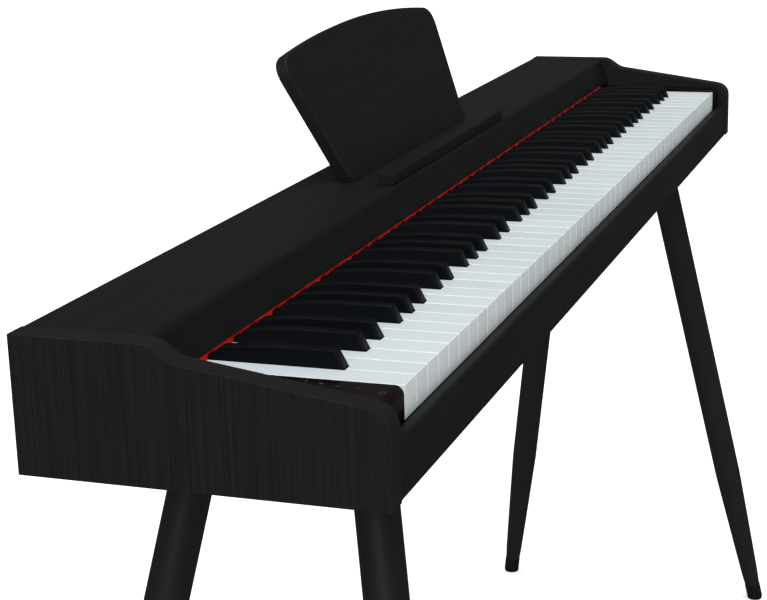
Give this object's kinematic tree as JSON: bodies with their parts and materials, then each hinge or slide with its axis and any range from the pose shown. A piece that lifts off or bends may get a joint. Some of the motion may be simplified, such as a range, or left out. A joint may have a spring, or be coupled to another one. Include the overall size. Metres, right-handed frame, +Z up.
{
  "type": "digital piano on stand",
  "caption": "Slim digital piano in a black wood-grain case on splayed round legs, with rocking keys, a lift-out music rest and a glossy touch panel.",
  "frame": {"origin": "on the floor, under the middle of the case", "axes": "+X towards the treble end, +Y to the back, +Z up"},
  "size_m": [1.4228, 0.3698, 0.8771],
  "materials": {
    "laminate": "matte black wood-grain laminate",
    "white_keys": "satin white",
    "black_keys": "satin black",
    "steel": "black zinc and powder coat",
    "circuit_board": "green solder mask",
    "felt": "red wool felt",
    "touch_panel": "gloss black-brown",
    "case_plastic": "fine moulded texture",
    "beech": "bare beech",
    "speaker": "black",
    "socket_plastic": "black",
    "leg_paint": "matte black lacquer",
    "foot_rubber": "matte black"
  },
  "bodies": {
    "case": {"left_cheek": "laminate", "right_cheek": "laminate", "top_panel": "laminate", "fallboard": "laminate", "front_rail": "laminate", "bottom_panel": "laminate", "back_panel": "laminate", "music_ledge": "laminate", "key_frame": "steel", "contact_board": "circuit_board", "main_board": "circuit_board", "key_felt": "felt", "touch_panel": "touch_panel", "left_end_block": "case_plastic", "right_end_block": "case_plastic", "speaker_left": "speaker", "speaker_right": "speaker", "socket_plate": "socket_plastic", "dc_inlet": "socket_plastic", "headphone_socket": "socket_plastic", "pedal_socket": "socket_plastic", "leg_front_left": "leg_paint", "leg_plate_front_left": "steel", "leg_foot_front_left": "foot_rubber", "leg_front_right": "leg_paint", "leg_plate_front_right": "steel", "leg_foot_front_right": "foot_rubber", "leg_back_left": "leg_paint", "leg_plate_back_left": "steel", "leg_foot_back_left": "foot_rubber", "leg_back_right": "leg_paint", "leg_plate_back_right": "steel", "leg_foot_back_right": "foot_rubber"},
    "music_rest": {"music_rest": "laminate", "rest_peg_left": "beech", "rest_peg_right": "beech"},
    "white_keys_octave_1": {"white_keys_octave_1": "white_keys"},
    "white_keys_octave_2": {"white_keys_octave_2": "white_keys"},
    "white_keys_octave_3": {"white_keys_octave_3": "white_keys"},
    "white_keys_octave_5": {"white_keys_octave_5": "white_keys"},
    "white_keys_octave_6": {"white_keys_octave_6": "white_keys"},
    "white_keys_octave_7": {"white_keys_octave_7": "white_keys"},
    "black_keys_octave_1": {"black_keys_octave_1": "black_keys"},
    "black_keys_octave_2": {"black_keys_octave_2": "black_keys"},
    "black_keys_octave_3": {"black_keys_octave_3": "black_keys"},
    "black_keys_octave_5": {"black_keys_octave_5": "black_keys"},
    "black_keys_octave_6": {"black_keys_octave_6": "black_keys"},
    "black_keys_octave_7": {"black_keys_octave_7": "black_keys"},
    "key_c4": {"key_c4": "white_keys"},
    "key_d4": {"key_d4": "white_keys"},
    "key_e4": {"key_e4": "white_keys"},
    "key_f4": {"key_f4": "white_keys"},
    "key_g4": {"key_g4": "white_keys"},
    "key_a4": {"key_a4": "white_keys"},
    "key_b4": {"key_b4": "white_keys"},
    "key_c_sharp4": {"key_c_sharp4": "black_keys"},
    "key_d_sharp4": {"key_d_sharp4": "black_keys"},
    "key_f_sharp4": {"key_f_sharp4": "black_keys"},
    "key_g_sharp4": {"key_g_sharp4": "black_keys"},
    "key_a_sharp4": {"key_a_sharp4": "black_keys"}
  },
  "joints": [
    {"name": "white_keys_octave_1_press", "type": "hinge", "parent": "case", "child": "white_keys_octave_1", "pos_m": [0, 0.06275, 0.7043], "axis": [1, 0, 0], "range_deg": [0, 3.2], "stiffness_Nm_per_rad": 5.4, "springref_deg": -13.75},
    {"name": "white_keys_octave_2_press", "type": "hinge", "parent": "case", "child": "white_keys_octave_2", "pos_m": [0, 0.06275, 0.7043], "axis": [1, 0, 0], "range_deg": [0, 3.2], "stiffness_Nm_per_rad": 4.2, "springref_deg": -13.75},
    {"name": "white_keys_octave_3_press", "type": "hinge", "parent": "case", "child": "white_keys_octave_3", "pos_m": [0, 0.06275, 0.7043], "axis": [1, 0, 0], "range_deg": [0, 3.2], "stiffness_Nm_per_rad": 4.2, "springref_deg": -13.75},
    {"name": "white_keys_octave_5_press", "type": "hinge", "parent": "case", "child": "white_keys_octave_5", "pos_m": [0, 0.06275, 0.7043], "axis": [1, 0, 0], "range_deg": [0, 3.2], "stiffness_Nm_per_rad": 4.2, "springref_deg": -13.75},
    {"name": "white_keys_octave_6_press", "type": "hinge", "parent": "case", "child": "white_keys_octave_6", "pos_m": [0, 0.06275, 0.7043], "axis": [1, 0, 0], "range_deg": [0, 3.2], "stiffness_Nm_per_rad": 4.2, "springref_deg": -13.75},
    {"name": "white_keys_octave_7_press", "type": "hinge", "parent": "case", "child": "white_keys_octave_7", "pos_m": [0, 0.06275, 0.7043], "axis": [1, 0, 0], "range_deg": [0, 3.2], "stiffness_Nm_per_rad": 4.8, "springref_deg": -13.75},
    {"name": "black_keys_octave_1_press", "type": "hinge", "parent": "case", "child": "black_keys_octave_1", "pos_m": [0, 0.06275, 0.7043], "axis": [1, 0, 0], "range_deg": [0, 4.2], "stiffness_Nm_per_rad": 3, "springref_deg": -10.89},
    {"name": "black_keys_octave_2_press", "type": "hinge", "parent": "case", "child": "black_keys_octave_2", "pos_m": [0, 0.06275, 0.7043], "axis": [1, 0, 0], "range_deg": [0, 4.2], "stiffness_Nm_per_rad": 2.5, "springref_deg": -10.89},
    {"name": "black_keys_octave_3_press", "type": "hinge", "parent": "case", "child": "black_keys_octave_3", "pos_m": [0, 0.06275, 0.7043], "axis": [1, 0, 0], "range_deg": [0, 4.2], "stiffness_Nm_per_rad": 2.5, "springref_deg": -10.89},
    {"name": "black_keys_octave_5_press", "type": "hinge", "parent": "case", "child": "black_keys_octave_5", "pos_m": [0, 0.06275, 0.7043], "axis": [1, 0, 0], "range_deg": [0, 4.2], "stiffness_Nm_per_rad": 2.5, "springref_deg": -10.89},
    {"name": "black_keys_octave_6_press", "type": "hinge", "parent": "case", "child": "black_keys_octave_6", "pos_m": [0, 0.06275, 0.7043], "axis": [1, 0, 0], "range_deg": [0, 4.2], "stiffness_Nm_per_rad": 2.5, "springref_deg": -10.89},
    {"name": "black_keys_octave_7_press", "type": "hinge", "parent": "case", "child": "black_keys_octave_7", "pos_m": [0, 0.06275, 0.7043], "axis": [1, 0, 0], "range_deg": [0, 4.2], "stiffness_Nm_per_rad": 2.5, "springref_deg": -10.89},
    {"name": "key_c4_press", "type": "hinge", "parent": "case", "child": "key_c4", "pos_m": [0, 0.06275, 0.7043], "axis": [1, 0, 0], "range_deg": [0, 3.2], "stiffness_Nm_per_rad": 0.6, "springref_deg": -13.75},
    {"name": "key_d4_press", "type": "hinge", "parent": "case", "child": "key_d4", "pos_m": [0, 0.06275, 0.7043], "axis": [1, 0, 0], "range_deg": [0, 3.2], "stiffness_Nm_per_rad": 0.6, "springref_deg": -13.75},
    {"name": "key_e4_press", "type": "hinge", "parent": "case", "child": "key_e4", "pos_m": [0, 0.06275, 0.7043], "axis": [1, 0, 0], "range_deg": [0, 3.2], "stiffness_Nm_per_rad": 0.6, "springref_deg": -13.75},
    {"name": "key_f4_press", "type": "hinge", "parent": "case", "child": "key_f4", "pos_m": [0, 0.06275, 0.7043], "axis": [1, 0, 0], "range_deg": [0, 3.2], "stiffness_Nm_per_rad": 0.6, "springref_deg": -13.75},
    {"name": "key_g4_press", "type": "hinge", "parent": "case", "child": "key_g4", "pos_m": [0, 0.06275, 0.7043], "axis": [1, 0, 0], "range_deg": [0, 3.2], "stiffness_Nm_per_rad": 0.6, "springref_deg": -13.75},
    {"name": "key_a4_press", "type": "hinge", "parent": "case", "child": "key_a4", "pos_m": [0, 0.06275, 0.7043], "axis": [1, 0, 0], "range_deg": [0, 3.2], "stiffness_Nm_per_rad": 0.6, "springref_deg": -13.75},
    {"name": "key_b4_press", "type": "hinge", "parent": "case", "child": "key_b4", "pos_m": [0, 0.06275, 0.7043], "axis": [1, 0, 0], "range_deg": [0, 3.2], "stiffness_Nm_per_rad": 0.6, "springref_deg": -13.75},
    {"name": "key_c_sharp4_press", "type": "hinge", "parent": "case", "child": "key_c_sharp4", "pos_m": [0, 0.06275, 0.7043], "axis": [1, 0, 0], "range_deg": [0, 4.2], "stiffness_Nm_per_rad": 0.5, "springref_deg": -10.89},
    {"name": "key_d_sharp4_press", "type": "hinge", "parent": "case", "child": "key_d_sharp4", "pos_m": [0, 0.06275, 0.7043], "axis": [1, 0, 0], "range_deg": [0, 4.2], "stiffness_Nm_per_rad": 0.5, "springref_deg": -10.89},
    {"name": "key_f_sharp4_press", "type": "hinge", "parent": "case", "child": "key_f_sharp4", "pos_m": [0, 0.06275, 0.7043], "axis": [1, 0, 0], "range_deg": [0, 4.2], "stiffness_Nm_per_rad": 0.5, "springref_deg": -10.89},
    {"name": "key_g_sharp4_press", "type": "hinge", "parent": "case", "child": "key_g_sharp4", "pos_m": [0, 0.06275, 0.7043], "axis": [1, 0, 0], "range_deg": [0, 4.2], "stiffness_Nm_per_rad": 0.5, "springref_deg": -10.89},
    {"name": "key_a_sharp4_press", "type": "hinge", "parent": "case", "child": "key_a_sharp4", "pos_m": [0, 0.06275, 0.7043], "axis": [1, 0, 0], "range_deg": [0, 4.2], "stiffness_Nm_per_rad": 0.5, "springref_deg": -10.89},
    {"name": "music_rest_lift", "type": "slide", "parent": "case", "child": "music_rest", "axis": [0, 0.3907, 0.9205], "range_m": [0, 0.016]}
  ]
}
